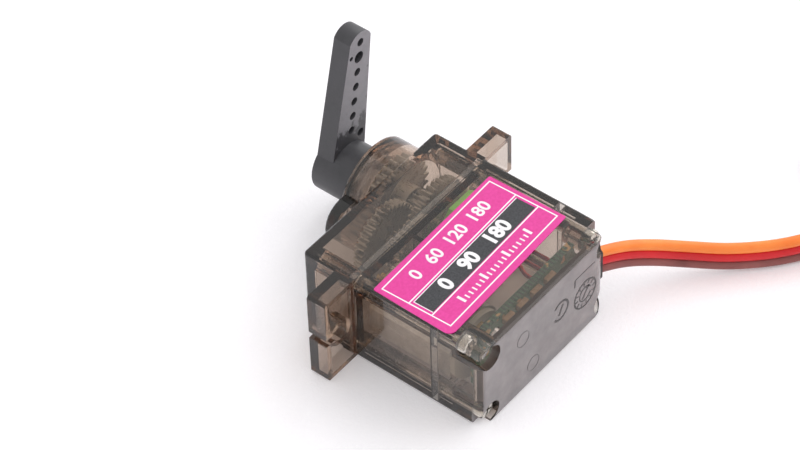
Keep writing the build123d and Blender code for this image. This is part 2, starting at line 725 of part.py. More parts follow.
def make_control_chip():
    chip_x, chip_z = -0.6, MID - 0.6
    body = chip(chip_x, chip_z, 4.2, 3.2, 1.1)
    for side in (-1, 1):
        for k in range(4):
            x = chip_x + (k - 1.5) * 1.0
            z = chip_z + side * 1.85
            body += block(x - 0.2, x + 0.2, BOARD_Y - 0.55, BOARD_Y - 0.05, z - 0.35, z + 0.35)
    return body


def make_small_components():
    """Resistors and capacitors as (x, z, long, wide, tall), on the board's outer side."""
    rows = [(3.4, MID - 0.3, 2.2, 1.6, 0.9), (-4.3, MID + 0.2, 1.5, 2.2, 0.8)]
    rows += [(-4.2 + 2.4 * k, MID + 3.7, 1.5, 0.8, 0.6) for k in range(4)]
    rows += [(-4.2 + 2.5 * k, MID - 3.7, 1.4, 0.8, 0.6) for k in range(3)]
    parts = []
    for x, z, long, wide, tall in rows:
        parts.append(block(x - long / 2, x + long / 2, BOARD_Y - tall, BOARD_Y - 0.02, z - wide / 2,
                           z + wide / 2))
    return group(parts)


def dome(x, z, radius, outward=-1):
    """Solder joint: a low dome that stands on the board."""
    base = BOARD_Y if outward < 0 else BOARD_Y + BOARD_THICK
    bead = Pos(x, base, z) * Sphere(radius)
    low, high = sorted((base + outward * 0.02, base + outward * radius * 0.62))
    return bead & block(x - 2, x + 2, low, high, z - 2, z + 2)


def make_solder_joints():
    joints = [dome(MOTOR_X, MID + side * TERMINAL_Z, 0.9) for side in (-1, 1)]
    joints += [dome(x, z, 0.55) for x, z in board_holes()]
    joints += [dome(LEAD_PAD_X, z, 0.62) for z in lead_pads()]
    taken = make_motor_terminals()
    for x, z in board_holes():
        taken += rod(x, z, BOARD_Y - 1, BOARD_Y + 1, 0.25)
    for end in make_lead_ends().solids():
        taken += end
    return group([joint - taken for joint in joints])


def lead_pads():
    return [MID + k * 2.0 for k in (-1, 0, 1)]


def make_pot_wires():
    wires = []
    for (x, z), (hole_x, hole_z) in zip(pot_pins(), board_holes()):
        path = FilletPolyline((x, POT_BACK - 1.25, z), (x, -6.6, z), (hole_x, -9.6, hole_z),
                              (hole_x, BOARD_Y - 0.2, hole_z), radius=1.6)
        wires.append(sweep(Plane(path @ 0, z_dir=path % 0) * Circle(0.25), path))
    return group(wires)


def make_lead_ends():
    """Inner stretch of each wire, from the grommet to its pad on the board."""
    ends = []
    for k, pad in zip((-1, 0, 1), lead_pads()):
        z = EXIT_Z + k * WIRE
        end_y = BOARD_Y - LEAD_CORE_R - 0.08
        path = FilletPolyline((GROMMET_FRONT, EXIT_Y, z), (GROMMET_BACK - 0.2, EXIT_Y, z),
                              (LEAD_PAD_X + 0.7, end_y, pad), (LEAD_PAD_X - 0.4, end_y, pad), radius=0.45)
        ends.append(sweep(Plane(path @ 0, z_dir=path % 0) * Circle(LEAD_CORE_R), path))
    return group(ends)


# ---- horn ----

def arm_frame():
    """Turns a shape drawn along +Z from the output axis to the arm's rest angle."""
    return Pos(OUTPUT_X, 0, MID) * Rot(0, ARM_TILT, 0)


def make_horn():
    hub = rod(OUTPUT_X, MID, HUB_BACK, HUB_FRONT, HUB_R)
    hub = fillet(hub.edges().filter_by(GeomType.CIRCLE), 0.2)
    shoulder = ARM_LENGTH - TIP_RISE
    sides = Polyline((-ARM_TIP, shoulder), (-ARM_ROOT, 0), (ARM_ROOT, 0), (ARM_TIP, shoulder))
    tip = ThreePointArc((ARM_TIP, shoulder), (0, ARM_LENGTH), (-ARM_TIP, shoulder))
    plate = make_face(sides + tip)
    plate = fillet([v for v in plate.vertices() if v.Y > 1], 0.4)
    # local y of the sketch plane is -Z, so the outline is turned half round
    arm = extrude(facing_y(0, ARM_BACK, 0) * Rot(0, 0, 180) * plate, HUB_FRONT - ARM_BACK)
    rim = arm.edges().filter_by(lambda e: abs(e.center().Y - HUB_FRONT) < 0.01)
    arm = fillet(rim.sort_by(Axis.Z)[1:], 0.2)
    horn = hub + arm_frame() * arm
    # socket with the matching serration, screw hole and counterbore
    horn -= spline(OUTPUT_X, HUB_BACK - 1, 15.0, SPLINE_R, 0.2, SPLINE_TEETH, grow=0.03)
    horn -= rod(OUTPUT_X, MID, HUB_BACK - 1, HUB_BACK + 0.3, SPLINE_R + 0.1)
    horn -= rod(OUTPUT_X, MID, 14, 18, 1.05)
    horn -= rod(OUTPUT_X, MID, 16.0, 18, 2.1)
    holes = [(0, HORN_HOLE_FIRST + HORN_PITCH * k, HORN_HOLE_R) for k in range(HORN_HOLES)]
    holes[-2] = (0, holes[-2][1], HORN_HOLE_R * WIDE_HOLE)
    holes.append((1.75, HORN_HOLE_FIRST - 1.1, HORN_HOLE_R))
    for across, out, radius in holes:
        horn -= arm_frame() * rod(across, out, ARM_BACK - 4, HUB_FRONT + 1, radius)
    nick = (-1.35, HORN_HOLE_FIRST + HORN_PITCH * (HORN_HOLES - 2) + 0.4)
    return horn - arm_frame() * rod(*nick, ARM_BACK - 1, ARM_BACK + 0.5, 0.28)


def make_horn_screw():
    head = rod(OUTPUT_X, MID, 16.02, 17.1, 1.75)
    head = fillet(head.edges().filter_by(GeomType.CIRCLE).sort_by(Axis.Y)[-1], 0.5)
    for turn in (10, 100):
        head -= Pos(OUTPUT_X, 17.0, MID) * Rot(0, turn, 0) * Box(2.0, 0.7, 0.4)
    return head + rod(OUTPUT_X, MID, 10.7, 16.05, 0.78)


# ---- lead ----

def ribbon_line(route, place):
    """Points of one wire: place is -1, 0 or 1 across the ribbon, 1 on top."""
    points = []
    for x, y, z, turn in route:
        pitch = WIRE + (PLUG_PITCH - WIRE) * (turn / 90) ** 4
        across = place * pitch
        points.append(Vector(x - across * sin(radians(turn)), y, z + across * cos(radians(turn))))
    return points


def round_tube(points, diameter, name):
    """Tube along straight runs joined by arcs as large as the runs allow."""
    radii = []
    for before, corner, after in zip(points, points[1:], points[2:]):
        turn = radians((corner - before).get_angle(after - corner))
        shorter = min((corner - before).length, (after - corner).length)
        radii.append(0.45 * shorter / tan(turn / 2))
    path = FilletPolyline(*points, radius=radii)
    tube = sweep(Plane(path @ 0, z_dir=path % 0) * Circle(diameter / 2), path)
    section = pi * diameter ** 2 / 4
    print(f"{name}: length {path.length:.1f} mm, smallest radius {min(radii):.1f} mm,"
          f" volume / (section x length) {tube.volume / (section * path.length):.4f}")
    return tube


def make_wire(place, name):
    outside = round_tube(ribbon_line(LEAD_OUT, place), WIRE, name)
    tail = round_tube(ribbon_line(LEAD_TAIL, place), WIRE, name + " tail")
    return group([outside, tail])


def make_lead_coil():
    coil = Pos(COIL_X, COIL_Y, (COIL_LIFT + COIL_TOP) / 2) * Cylinder(COIL_R, COIL_TOP - COIL_LIFT)
    return coil - Pos(COIL_X, COIL_Y, 2) * Cylinder(COIL_HOLE, 10)


def make_coil_tie():
    """Flat band through the coil's eye and round one side of it."""
    inside = COIL_HOLE - 0.6
    outside = COIL_R + GAP
    over = COIL_TOP + GAP
    band = block(inside - TIE_THICK, outside + TIE_THICK, -TIE_HALF, TIE_HALF, 0, over + TIE_THICK)
    band -= block(inside, outside, -TIE_HALF - 1, TIE_HALF + 1, COIL_LIFT, over)
    return Pos(COIL_X, COIL_Y, 0) * Rot(0, 0, TIE_TURN) * band


def make_grommet():
    body = block(GROMMET_BACK, GROMMET_FRONT - 0.15, EXIT_Y - SLOT_HALF_Y, EXIT_Y + SLOT_HALF_Y,
                 EXIT_Z - SLOT_HALF_Z, EXIT_Z + SLOT_HALF_Z)
    body = fillet(body.edges().filter_by(Axis.X), 0.5)
    for k in (-1, 0, 1):
        x = (GROMMET_BACK + GROMMET_FRONT) / 2
        body -= Pos(x, EXIT_Y, EXIT_Z + k * WIRE) * Rot(0, 90, 0) * Cylinder(LEAD_CORE_R + 0.02, 5)
    return body


def plug_x(place):
    return LEAD_TAIL[-1][0] - place * PLUG_PITCH


def make_plug_housing():
    x = LEAD_TAIL[-1][0]
    body = block(x - PLUG_WIDE / 2, x + PLUG_WIDE / 2, PLUG_BACK, PLUG_BACK + PLUG_LONG, 0, PLUG_TALL)
    body = fillet(body.edges().filter_by(Axis.Y), 0.25)
    for place in (-1, 0, 1):
        hole = plug_x(place)
        low, high = PLUG_TALL / 2 - 0.75, PLUG_TALL / 2 + 0.75
        body -= block(hole - 0.75, hole + 0.75, PLUG_BACK - 1, PLUG_BACK + PLUG_LONG - 1.2, low, high)
        body -= block(hole - 0.4, hole + 0.4, PLUG_BACK, PLUG_BACK + PLUG_LONG + 1, PLUG_TALL / 2 - 0.4,
                      PLUG_TALL / 2 + 0.4)
        body -= block(hole - 0.6, hole + 0.6, PLUG_BACK + 5, PLUG_BACK + 8, PLUG_TALL / 2, PLUG_TALL + 1)
    return body


def make_plug_contacts():
    contacts = []
    for place in (-1, 0, 1):
        x, z = plug_x(place), PLUG_TALL / 2
        barrel = block(x - 0.7, x + 0.7, PLUG_BACK + 6, PLUG_BACK + PLUG_LONG - 1.3, z - 0.7, z + 0.7)
        barrel -= block(x - 0.45, x + 0.45, PLUG_BACK + 5, PLUG_BACK + PLUG_LONG, z - 0.45, z + 0.45)
        crimp = block(x - 0.7, x + 0.7, PLUG_BACK + 0.05, PLUG_BACK + 6, z - 0.7, z - 0.65)
        contacts.append(barrel + crimp)
    return group(contacts)


# ---- export ----

SMOKE = (0.25, 0.21, 0.19)
STEEL = (0.7, 0.7, 0.72)
BRASS = (0.8, 0.65, 0.35)
GEAR = (0.45, 0.42, 0.38)
BLACK = (0.06, 0.06, 0.07)
COPPER = (0.75, 0.42, 0.25)

NODES = [
    ("bottom_cover", make_bottom_cover, SMOKE),
    ("middle_case", make_middle_case, SMOKE),
    ("gearbox_cover", make_gearbox_cover, SMOKE),
    ("case_screws", make_case_screws, STEEL),
    ("label", make_label, (0.95, 0.25, 0.7)),
    ("motor_can", make_motor_can, STEEL),
    ("motor_end_cap", make_motor_end_cap, (0.9, 0.88, 0.82)),
    ("motor_bushes", make_motor_bushes, BRASS),
    ("motor_magnets", make_motor_magnets, (0.2, 0.2, 0.2)),
    ("motor_terminals", make_motor_terminals, BRASS),
    ("motor_brushes", make_motor_brushes, COPPER),
    ("motor_shaft", make_motor_shaft, STEEL),
    ("armature_core", make_armature_core, STEEL),
    ("armature_windings", make_armature_windings, COPPER),
    ("commutator", make_commutator, COPPER),
    ("motor_pinion", make_motor_pinion, BRASS),
    ("gear_pin", make_gear_pin, STEEL),
    ("spacer_washers", make_spacer_washers, STEEL),
    ("first_gear", make_first_gear, GEAR),
    ("second_gear", make_second_gear, GEAR),
    ("third_gear", make_third_gear, GEAR),
    ("output_gear", make_output_gear, GEAR),
    ("bearing_outer_ring", make_bearing_outer, STEEL),
    ("bearing_inner_ring", make_bearing_inner, STEEL),
    ("bearing_balls", make_bearing_balls, STEEL),
    ("ball_cage", make_ball_cage, BRASS),
    ("pot_housing", make_pot_housing, (0.3, 0.75, 0.25)),
    ("pot_base", make_pot_base, (0.35, 0.22, 0.12)),
    ("pot_terminals", make_pot_terminals, STEEL),
    ("pot_shaft", make_pot_shaft, STEEL),
    ("pot_wiper", make_pot_wiper, BRASS),
    ("circuit_board", make_circuit_board, (0.1, 0.4, 0.2)),
    ("control_chip", make_control_chip, BLACK),
    ("small_components", make_small_components, (0.5, 0.4, 0.3)),
    ("solder_joints", make_solder_joints, STEEL),
    ("pot_wires", make_pot_wires, (0.8, 0.2, 0.15)),
    ("lead_ends", make_lead_ends, (0.85, 0.2, 0.15)),
    ("cable_grommet", make_grommet, BLACK),
    ("horn", make_horn, BLACK),
    ("horn_screw", make_horn_screw, STEEL),
    ("signal_wire", lambda: make_wire(1, "signal wire"), (1.0, 0.6, 0.3)),
    ("power_wire", lambda: make_wire(0, "power wire"), (0.85, 0.15, 0.15)),
    ("ground_wire", lambda: make_wire(-1, "ground wire"), (0.5, 0.28, 0.25)),
    ("lead_coil", make_lead_coil, (0.8, 0.35, 0.2)),
    ("coil_tie", make_coil_tie, BLACK),
    ("plug_housing", make_plug_housing, BLACK),
    ("plug_contacts", make_plug_contacts, BRASS),
]


for node, make, colour in NODES:
    export(make(), node, colour)
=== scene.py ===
from math import cos, floor, pi, radians, sin

import bmesh
import bpy
from mathutils import Matrix, Vector


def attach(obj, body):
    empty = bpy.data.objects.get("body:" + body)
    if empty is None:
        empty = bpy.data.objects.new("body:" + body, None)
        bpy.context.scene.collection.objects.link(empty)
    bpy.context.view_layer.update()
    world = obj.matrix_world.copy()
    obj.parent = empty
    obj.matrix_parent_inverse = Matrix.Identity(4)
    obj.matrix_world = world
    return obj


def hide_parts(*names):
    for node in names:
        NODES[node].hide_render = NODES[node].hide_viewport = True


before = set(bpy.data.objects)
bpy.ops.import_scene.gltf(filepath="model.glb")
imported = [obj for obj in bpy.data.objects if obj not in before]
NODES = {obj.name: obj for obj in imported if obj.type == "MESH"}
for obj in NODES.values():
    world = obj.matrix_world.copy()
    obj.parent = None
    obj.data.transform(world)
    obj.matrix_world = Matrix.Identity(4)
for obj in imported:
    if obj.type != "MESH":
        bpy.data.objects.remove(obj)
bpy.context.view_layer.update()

# Micro servo motor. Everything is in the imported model's frame: +X along the body towards
# the output shaft, +Y along the shaft, +Z up out of the label. Sizes and places are named
# in millimetres and multiplied by MM where Blender takes metres, unless they say otherwise.
MM = 0.001
CASE = "case"

# ---- camera ----
TARGET = Vector((2.277, 4.78, 6.0)) * MM
DISTANCE = 363.434 * MM
AZIMUTH = radians(-49.822)
ELEVATION = radians(46.612)
ROLL = radians(-1.967)
LENS = 148.87

# ---- lead: the same middle line as in the CAD source ----
# Its points are (x, y, z, turn), where turn is 0 with the wires stacked along Z and 90
# with them side by side along X, as they enter the plug.
WIRE = 1.25
PLUG_PITCH = 2.54
LEAD_OUT = [
    (11.45, -15.30, 5.60, 0),
    (14.0, -16.2, 5.05, 0),
    (17.2, -18.2, 3.95, 0),
    (20.4, -21.1, 2.75, 0),
    (23.6, -24.9, 2.05, 0),
    (28.2, -29.3, 1.90, 0),
    (33.2, -32.1, 1.92, 0),
    (38.0, -35.75, 2.10, 0),
]
LEAD_TAIL = [
    (45.65, -43.2, 2.20, 12),
    (45.85, -40.95, 2.00, 42),
    (45.9, -38.75, 1.60, 76),
    (45.7, -36.6, 1.30, 90),
]
# The coil is the ribbon folded in half and wound from its middle, so it has two arms.
COIL_CENTRE = (35.5, -45.5)
COIL_Z = 2.23
COIL_STEP = 1.3         # between neighbouring turns
COIL_EYE = 5.0          # the arms meet in an S inside this radius
S_POINTS = 8            # along each half of the S
ARM_IN = (9.2, 55.1)    # where each arm starts at the outside: radius, degrees
ARM_OUT = (10.1, 0.0)
TURN_POINTS = 20


def make_camera():
    back = Vector((sin(AZIMUTH) * cos(ELEVATION), -cos(AZIMUTH) * cos(ELEVATION), sin(ELEVATION)))
    level = Vector((0, 0, 1)).cross(back).normalized()
    upright = back.cross(level)
    right = level * cos(ROLL) + upright * sin(ROLL)
    up = upright * cos(ROLL) - level * sin(ROLL)
    data = bpy.data.cameras.new("camera")
    data.lens = LENS
    data.sensor_width = 36.0
    data.clip_start = 0.01
    data.clip_end = 10.0
    camera = bpy.data.objects.new("camera", data)
    bpy.context.scene.collection.objects.link(camera)
    turn = Matrix((right, up, back)).transposed().to_4x4()
    camera.matrix_world = Matrix.Translation(TARGET + back * DISTANCE) @ turn
    bpy.context.scene.camera = camera


# ---- lead ----

def coil_points():
    """Middle line of the coil, as (x, y, z, turn): one arm in, an S, the other arm out."""
    turns_in = (ARM_IN[0] - COIL_EYE) / (2 * COIL_STEP)
    turns_out = (ARM_OUT[0] - COIL_EYE) / (2 * COIL_STEP)
    start = radians(ARM_IN[1])
    middle = start - 2 * pi * turns_in
    flat = []
    steps = floor(turns_in * TURN_POINTS)
    for k in range(steps):
        share = turns_in * k / steps
        flat.append((ARM_IN[0] - 2 * COIL_STEP * share, start - 2 * pi * share))
    points = [(r * cos(a), r * sin(a)) for r, a in flat]
    half = COIL_EYE / 2
    for side in (1, -1):
        for k in range(0 if side > 0 else 1, S_POINTS):
            angle = middle - side * pi * k / S_POINTS
            away = (half * cos(middle) * side, half * sin(middle) * side)
            points.append((away[0] + half * cos(angle), away[1] + half * sin(angle)))
    steps = floor(turns_out * TURN_POINTS)
    for k in range(steps + 1):
        share = turns_out * k / steps
        radius = COIL_EYE + 2 * COIL_STEP * share
        angle = middle + pi + 2 * pi * share
        points.append((radius * cos(angle), radius * sin(angle)))
    return [(COIL_CENTRE[0] + x, COIL_CENTRE[1] + y, COIL_Z, 0) for x, y in points]


def ribbon_line(route, place):
    """Points of one wire: place is -1, 0 or 1 across the ribbon, 1 on top."""
    points = []
    for x, y, z, turn in route:
        across = place * (WIRE + (PLUG_PITCH - WIRE) * (turn / 90) ** 4)
        points.append((x - across * sin(radians(turn)), y, z + across * cos(radians(turn))))
    return points


def make_wire(name, place, surface):
    """One wire of the ribbon, from the case to the plug, as a curve."""
    route = ribbon_line(LEAD_OUT + coil_points() + LEAD_TAIL, place)
    data = bpy.data.curves.new(name, "CURVE")
    data.dimensions = "3D"
    spline = data.splines.new("NURBS")
    spline.points.add(len(route) - 1)
    for point, (x, y, z) in zip(spline.points, route):
        point.co = (x * MM, y * MM, z * MM, 1)
    spline.order_u = 3
    spline.use_endpoint_u = True
    spline.resolution_u = 6
    data.bevel_depth = WIRE / 2 * MM
    data.bevel_resolution = 5
    data.use_fill_caps = True
    data.materials.append(surface)
    wire = bpy.data.objects.new(name + "_insulation", data)
    bpy.context.scene.collection.objects.link(wire)
    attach(wire, CASE)
    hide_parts(name)
    return wire


# ---- material building blocks ----

class Surface:
    """A node material with a Principled shader and object coordinates in millimetres."""

    def __init__(self, name):
        self.material = bpy.data.materials.new(name)
        self.material.use_nodes = True
        self.tree = self.material.node_tree
        self.shader = self.tree.nodes["Principled BSDF"]
        self.coordinates = self.tree.nodes.new("ShaderNodeTexCoord")
        scale = self.add("ShaderNodeMapping", vector_type="TEXTURE")
        scale.inputs["Scale"].default_value = (MM, MM, MM)
        self.link(self.coordinates.outputs["Object"], scale.inputs["Vector"])
        self.place = scale.outputs["Vector"]

    def add(self, kind, **settings):
        node = self.tree.nodes.new(kind)
        for key, value in settings.items():
            setattr(node, key, value)
        return node

    def link(self, source, socket):
        self.tree.links.new(source, socket)

    def put(self, socket, value):
        """Give a socket a constant or another node's output."""
        if isinstance(value, bpy.types.NodeSocket):
            self.link(value, socket)
        else:
            socket.default_value = value

    def set(self, **values):
        for key, value in values.items():
            self.put(self.shader.inputs[key.replace("_", " ")], value)

    def math(self, operation, a, b=0.0, clamp=False):
        node = self.add("ShaderNodeMath", operation=operation, use_clamp=clamp)
        self.put(node.inputs[0], a)
        self.put(node.inputs[1], b)
        return node.outputs[0]

    def noise(self, scale, detail=3.0, rough=0.55, stretch=None, source=None):
        """Noise whose scale is in features per millimetre."""
        node = self.add("ShaderNodeTexNoise")
        place = source or self.place
        if stretch:
            squeeze = self.add("ShaderNodeMapping")
            squeeze.inputs["Scale"].default_value = stretch
            self.link(place, squeeze.inputs["Vector"])
            place = squeeze.outputs["Vector"]
        self.link(place, node.inputs["Vector"])
        node.inputs["Scale"].default_value = scale
        node.inputs["Detail"].default_value = detail
        node.inputs["Roughness"].default_value = rough
        return node.outputs["Fac"]

    def ramp(self, value, low, high, from_low=0.3, from_high=0.7):
        node = self.add("ShaderNodeMapRange")
        node.inputs["From Min"].default_value = from_low
        node.inputs["From Max"].default_value = from_high
        node.inputs["To Min"].default_value = low
        node.inputs["To Max"].default_value = high
        self.link(value, node.inputs["Value"])
        return node.outputs["Result"]

    def mix(self, share, a, b):
        node = self.add("ShaderNodeMix", data_type="RGBA")
        self.put(node.inputs["Factor"], share)
        self.put(node.inputs["A"], (*a, 1.0) if isinstance(a, tuple) else a)
        self.put(node.inputs["B"], (*b, 1.0) if isinstance(b, tuple) else b)
        return node.outputs["Result"]

    def bump(self, height, depth, strength=1.0):
        """Bump whose height is in millimetres."""
        node = self.add("ShaderNodeBump")
        node.inputs["Strength"].default_value = strength
        node.inputs["Distance"].default_value = depth * MM
        self.link(height, node.inputs["Height"])
        self.link(node.outputs["Normal"], self.shader.inputs["Normal"])


def moulded(name, dark, light, rough=0.45, grain=1.5, depth=0.006):
    """Plastic or cast surface: two close tones, uneven gloss and a fine moulded grain."""
    s = Surface(name)
    tone = s.ramp(s.noise(grain * 0.35, 4.0), 0.0, 1.0)
    gloss = s.ramp(s.noise(grain * 0.8, 3.0), rough - 0.08, rough + 0.1)
    s.set(Base_Color=s.mix(tone, dark, light), Roughness=gloss)
    s.bump(s.noise(grain * 9, 3.0), depth)
    return s.material


def metal(name, dark, light, rough=0.3, stretch=(1, 1, 1), depth=0.002, scale=4.0):
    """Machined or drawn metal: streaks along the direction that stretch leaves long."""
    s = Surface(name)
    streak = s.noise(scale, 4.0, stretch=stretch)
    tarnish = s.ramp(s.noise(0.7, 4.0), 0.0, 1.0)
    s.set(Base_Color=s.mix(tarnish, dark, light), Metallic=1.0,
          Roughness=s.ramp(streak, rough - 0.1, rough + 0.15))
    s.bump(streak, depth)
    return s.material


SMOKE_TINT = (0.9, 0.88, 0.86)
SMOKE_ROUGH = (0.01, 0.06)
SMOKE_HAZE = 0.02       # milky share of the polished faces
# Milky greys of the end face: partly the mould's rough texture, partly painted light, paler to stand in for
# how brightly that face is lit.
FROST_AND_PAINTED_LIGHT = ((0.28, 0.255, 0.26), (0.43, 0.39, 0.395))
FROST_ROUGH = 0.22      # added to the polished faces' roughness
FACES_END = -0.8        # a normal below this in Y looks out of the end face


def smoke(name, density, colour, end_haze=None):
    """See-through smoke plastic: the wall itself takes light away, so edges look dark.
    Lamps shine straight through it. Faces that look along -Y can be milkier and greyer, where the mould
    has a rough texture; their grey is also painted light, a paler colour standing in for how brightly that
    face is lit."""
    s = Surface(name)
    gloss = s.ramp(s.noise(0.5, 6.0, 0.7), *SMOKE_ROUGH, 0.5, 0.8)
    colour_here = (*SMOKE_TINT, 1.0)
    clear_here = 1.0 - SMOKE_HAZE
    if end_haze:
        facing = s.add("ShaderNodeSeparateXYZ")
        s.link(s.coordinates.outputs["Normal"], facing.inputs[0])
        # Faces looking along -Y: mould texture, and painted light through their paler colour.
        textured_and_painted_lit = s.math("LESS_THAN", facing.outputs["Y"], FACES_END)
        cloud = s.ramp(s.noise(0.3, 5.0, 0.65), 0.0, 1.0)
        colour_here = s.mix(textured_and_painted_lit, SMOKE_TINT, s.mix(cloud, *FROST_AND_PAINTED_LIGHT))
        clear_here = s.ramp(textured_and_painted_lit, 1.0 - SMOKE_HAZE, 1.0 - end_haze, 0.0, 1.0)
        gloss = s.math("ADD", gloss, s.math("MULTIPLY", textured_and_painted_lit, FROST_ROUGH))
    s.set(Base_Color=colour_here, Roughness=gloss, IOR=1.5, Transmission_Weight=clear_here)
    s.bump(s.noise(0.12, 1.0), 0.01, 0.4)
    clear = s.add("ShaderNodeBsdfTransparent")
    path = s.add("ShaderNodeLightPath")
    either = s.add("ShaderNodeMixShader")
    s.link(path.outputs["Is Shadow Ray"], either.inputs["Fac"])
    s.link(s.shader.outputs["BSDF"], either.inputs[1])
    s.link(clear.outputs["BSDF"], either.inputs[2])
    s.link(either.outputs["Shader"], s.tree.nodes["Material Output"].inputs["Surface"])
    volume = s.add("ShaderNodeVolumeAbsorption")
    volume.inputs["Density"].default_value = density
    volume.inputs["Color"].default_value = (*colour, 1.0)
    s.link(volume.outputs["Volume"], s.tree.nodes["Material Output"].inputs["Volume"])
    return s.material


# ---- label ----

# The print's own frame has its origin at the label's middle and is turned with the label.
LABEL_CENTRE = (-0.65, -7.4, 12.0)
LABEL_TURN = 2.0
LABEL_TOP = 12.105
INK_TALL = 0.006        # of the ticks
INK_HALF = 0.004        # numerals are extruded this far both ways
FRAME_X = 9.7           # white border line
FRAME_Y = (-4.45, 4.5)
LINE = 0.16
UPPER_LINE = 1.0
LOWER_LINE = -2.0
BLACK_X = (-9.2, 9.35)
BLACK_Y = (-1.84, 0.62)
BLACK_RIM = 0.1         # white line along two sides of the black bar
SCALE_ROW = [("0", -6.0), ("60", -2.7), ("120", 1.1), ("180", 5.3)]
ENDS_ROW = [("0", -5.2), ("90", -1.1), ("180", 4.0)]
TICKS = (-6.0, 6.0, 19, -3.75)      # first x, last x, count, y of their feet
LONG_EVERY = 6
LONG_TICK = (0.17, 1.15)            # half thickness and height
SHORT_TICK = (0.1, 0.65)


def label_material():
    s = Surface("label_print")
    turn = s.add("ShaderNodeMapping", vector_type="TEXTURE")
    turn.inputs["Location"].default_value = LABEL_CENTRE
    turn.inputs["Rotation"].default_value = (0, 0, radians(LABEL_TURN))
    s.link(s.place, turn.inputs["Vector"])
    split = s.add("ShaderNodeSeparateXYZ")
    s.link(turn.outputs["Vector"], split.inputs[0])
    x, y = split.outputs["X"], split.outputs["Y"]

    def inside(value, low, high):
        return s.math("MULTIPLY", s.math("GREATER_THAN", value, low), s.math("LESS_THAN", value, high))

    def box(x0, x1, y0, y1):
        return s.math("MULTIPLY", inside(x, x0, x1), inside(y, y0, y1))

    def either(a, b):
        return s.math("MAXIMUM", a, b)

    def without(a, b):
        return s.math("SUBTRACT", a, b, clamp=True)

    half = LINE / 2
    outer = box(-FRAME_X - half, FRAME_X + half, FRAME_Y[0] - half, FRAME_Y[1] + half)
    inner = box(-FRAME_X + half, FRAME_X - half, FRAME_Y[0] + half, FRAME_Y[1] - half)
    white = without(outer, inner)
    for line in (UPPER_LINE, LOWER_LINE):
        white = either(white, box(-FRAME_X, FRAME_X, line - half, line + half))
    black = box(*BLACK_X, *BLACK_Y)
    outline = box(BLACK_X[0] - BLACK_RIM, BLACK_X[1], BLACK_Y[0], BLACK_Y[1] + BLACK_RIM)
    white = either(white, without(outline, black))
    pink = s.mix(s.ramp(s.noise(3.0, 3.0), 0.0, 1.0), (0.70, 0.02, 0.27), (0.78, 0.036, 0.34))
    ink = s.mix(s.ramp(s.noise(6.0, 2.0), 0.0, 1.0), (0.012, 0.012, 0.015), (0.04, 0.042, 0.05))
    printed = s.mix(white, s.mix(black, pink, ink), (0.9, 0.88, 0.9))
    s.set(Base_Color=printed, Roughness=s.ramp(s.noise(0.8, 3.0), 0.32, 0.45), Coat_Weight=0.3,
          Coat_Roughness=0.2)
    s.bump(s.noise(0.35, 3.0), 0.03, 0.5)
    return s.material


def label_place(x, y):
    """A point on the label's top, from its place in the print's own frame."""
    turn = radians(LABEL_TURN)
    return Vector((LABEL_CENTRE[0] + x * cos(turn) - y * sin(turn),
                   LABEL_CENTRE[1] + x * sin(turn) + y * cos(turn), LABEL_TOP)) * MM


def make_numerals(name, row, y, size, weight, surface):
    """Numerals of a plain angle scale, printed on the label: row is (text, x) pairs."""
    shapes = []
    for text, x in row:
        data = bpy.data.curves.new(name, "FONT")
        data.body = text
        data.size = size * MM
        data.align_x = "CENTER"
        data.align_y = "CENTER"
        data.offset = weight * MM
        data.extrude = INK_HALF * MM
        data.resolution_u = 4
        shape = bpy.data.objects.new(name, data)
        bpy.context.scene.collection.objects.link(shape)
        shape.location = label_place(x, y)
        shape.rotation_euler = (0, 0, radians(LABEL_TURN))
        shapes.append(shape)
    return as_one_mesh(name, shapes, surface)


def as_one_mesh(name, shapes, surface):
    """Turn curve or text objects into one mesh piece that rides on the case."""
    bpy.context.view_layer.update()
    graph = bpy.context.evaluated_depsgraph_get()
    joined = bmesh.new()
    for shape in shapes:
        mesh = bpy.data.meshes.new_from_object(shape.evaluated_get(graph))
        mesh.transform(shape.matrix_world)
        joined.from_mesh(mesh)
        bpy.data.meshes.remove(mesh)
    for shape in shapes:
        bpy.data.objects.remove(shape)
    return piece_from(name, joined, surface)


def piece_from(name, shape, surface):
    """A new piece with this mesh and material, riding on the case."""
    mesh = bpy.data.meshes.new(name)
    shape.to_mesh(mesh)
    shape.free()
    mesh.materials.append(surface)
    piece = bpy.data.objects.new(name, mesh)
    bpy.context.scene.collection.objects.link(piece)
    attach(piece, CASE)
    return piece


def make_ticks(name, surface):
    """A row of scale ticks under the numerals."""
    shape = bmesh.new()
    first, last, count, foot = TICKS
    for k in range(count):
        x = first + (last - first) * k / (count - 1)
        thick, tall = SHORT_TICK if k % LONG_EVERY else LONG_TICK
        corners = [label_place(x + dx, foot + dy) for dx, dy in
                   ((-thick, 0), (thick, 0), (thick, tall), (-thick, tall))]
        shape.faces.new([shape.verts.new(corner) for corner in corners])
    lifted = bmesh.ops.extrude_face_region(shape, geom=shape.faces[:])
    raised = [v for v in lifted["geom"] if isinstance(v, bmesh.types.BMVert)]
    bmesh.ops.translate(shape, vec=(0, 0, INK_TALL * MM), verts=raised)
    bmesh.ops.recalc_face_normals(shape, faces=shape.faces[:])
    return piece_from(name, shape, surface)


def make_label_print():
    white = moulded("label_ink", (0.82, 0.8, 0.82), (0.92, 0.9, 0.92), rough=0.4)
    make_numerals("label_scale", SCALE_ROW, y=2.78, size=2.15, weight=0.05, surface=white)
    make_numerals("label_ends", ENDS_ROW, y=-0.62, size=2.45, weight=0.11, surface=white)
    make_ticks("label_ticks", white)


# ---- mould marks: a plain date dial and ejector rings on the end face ----

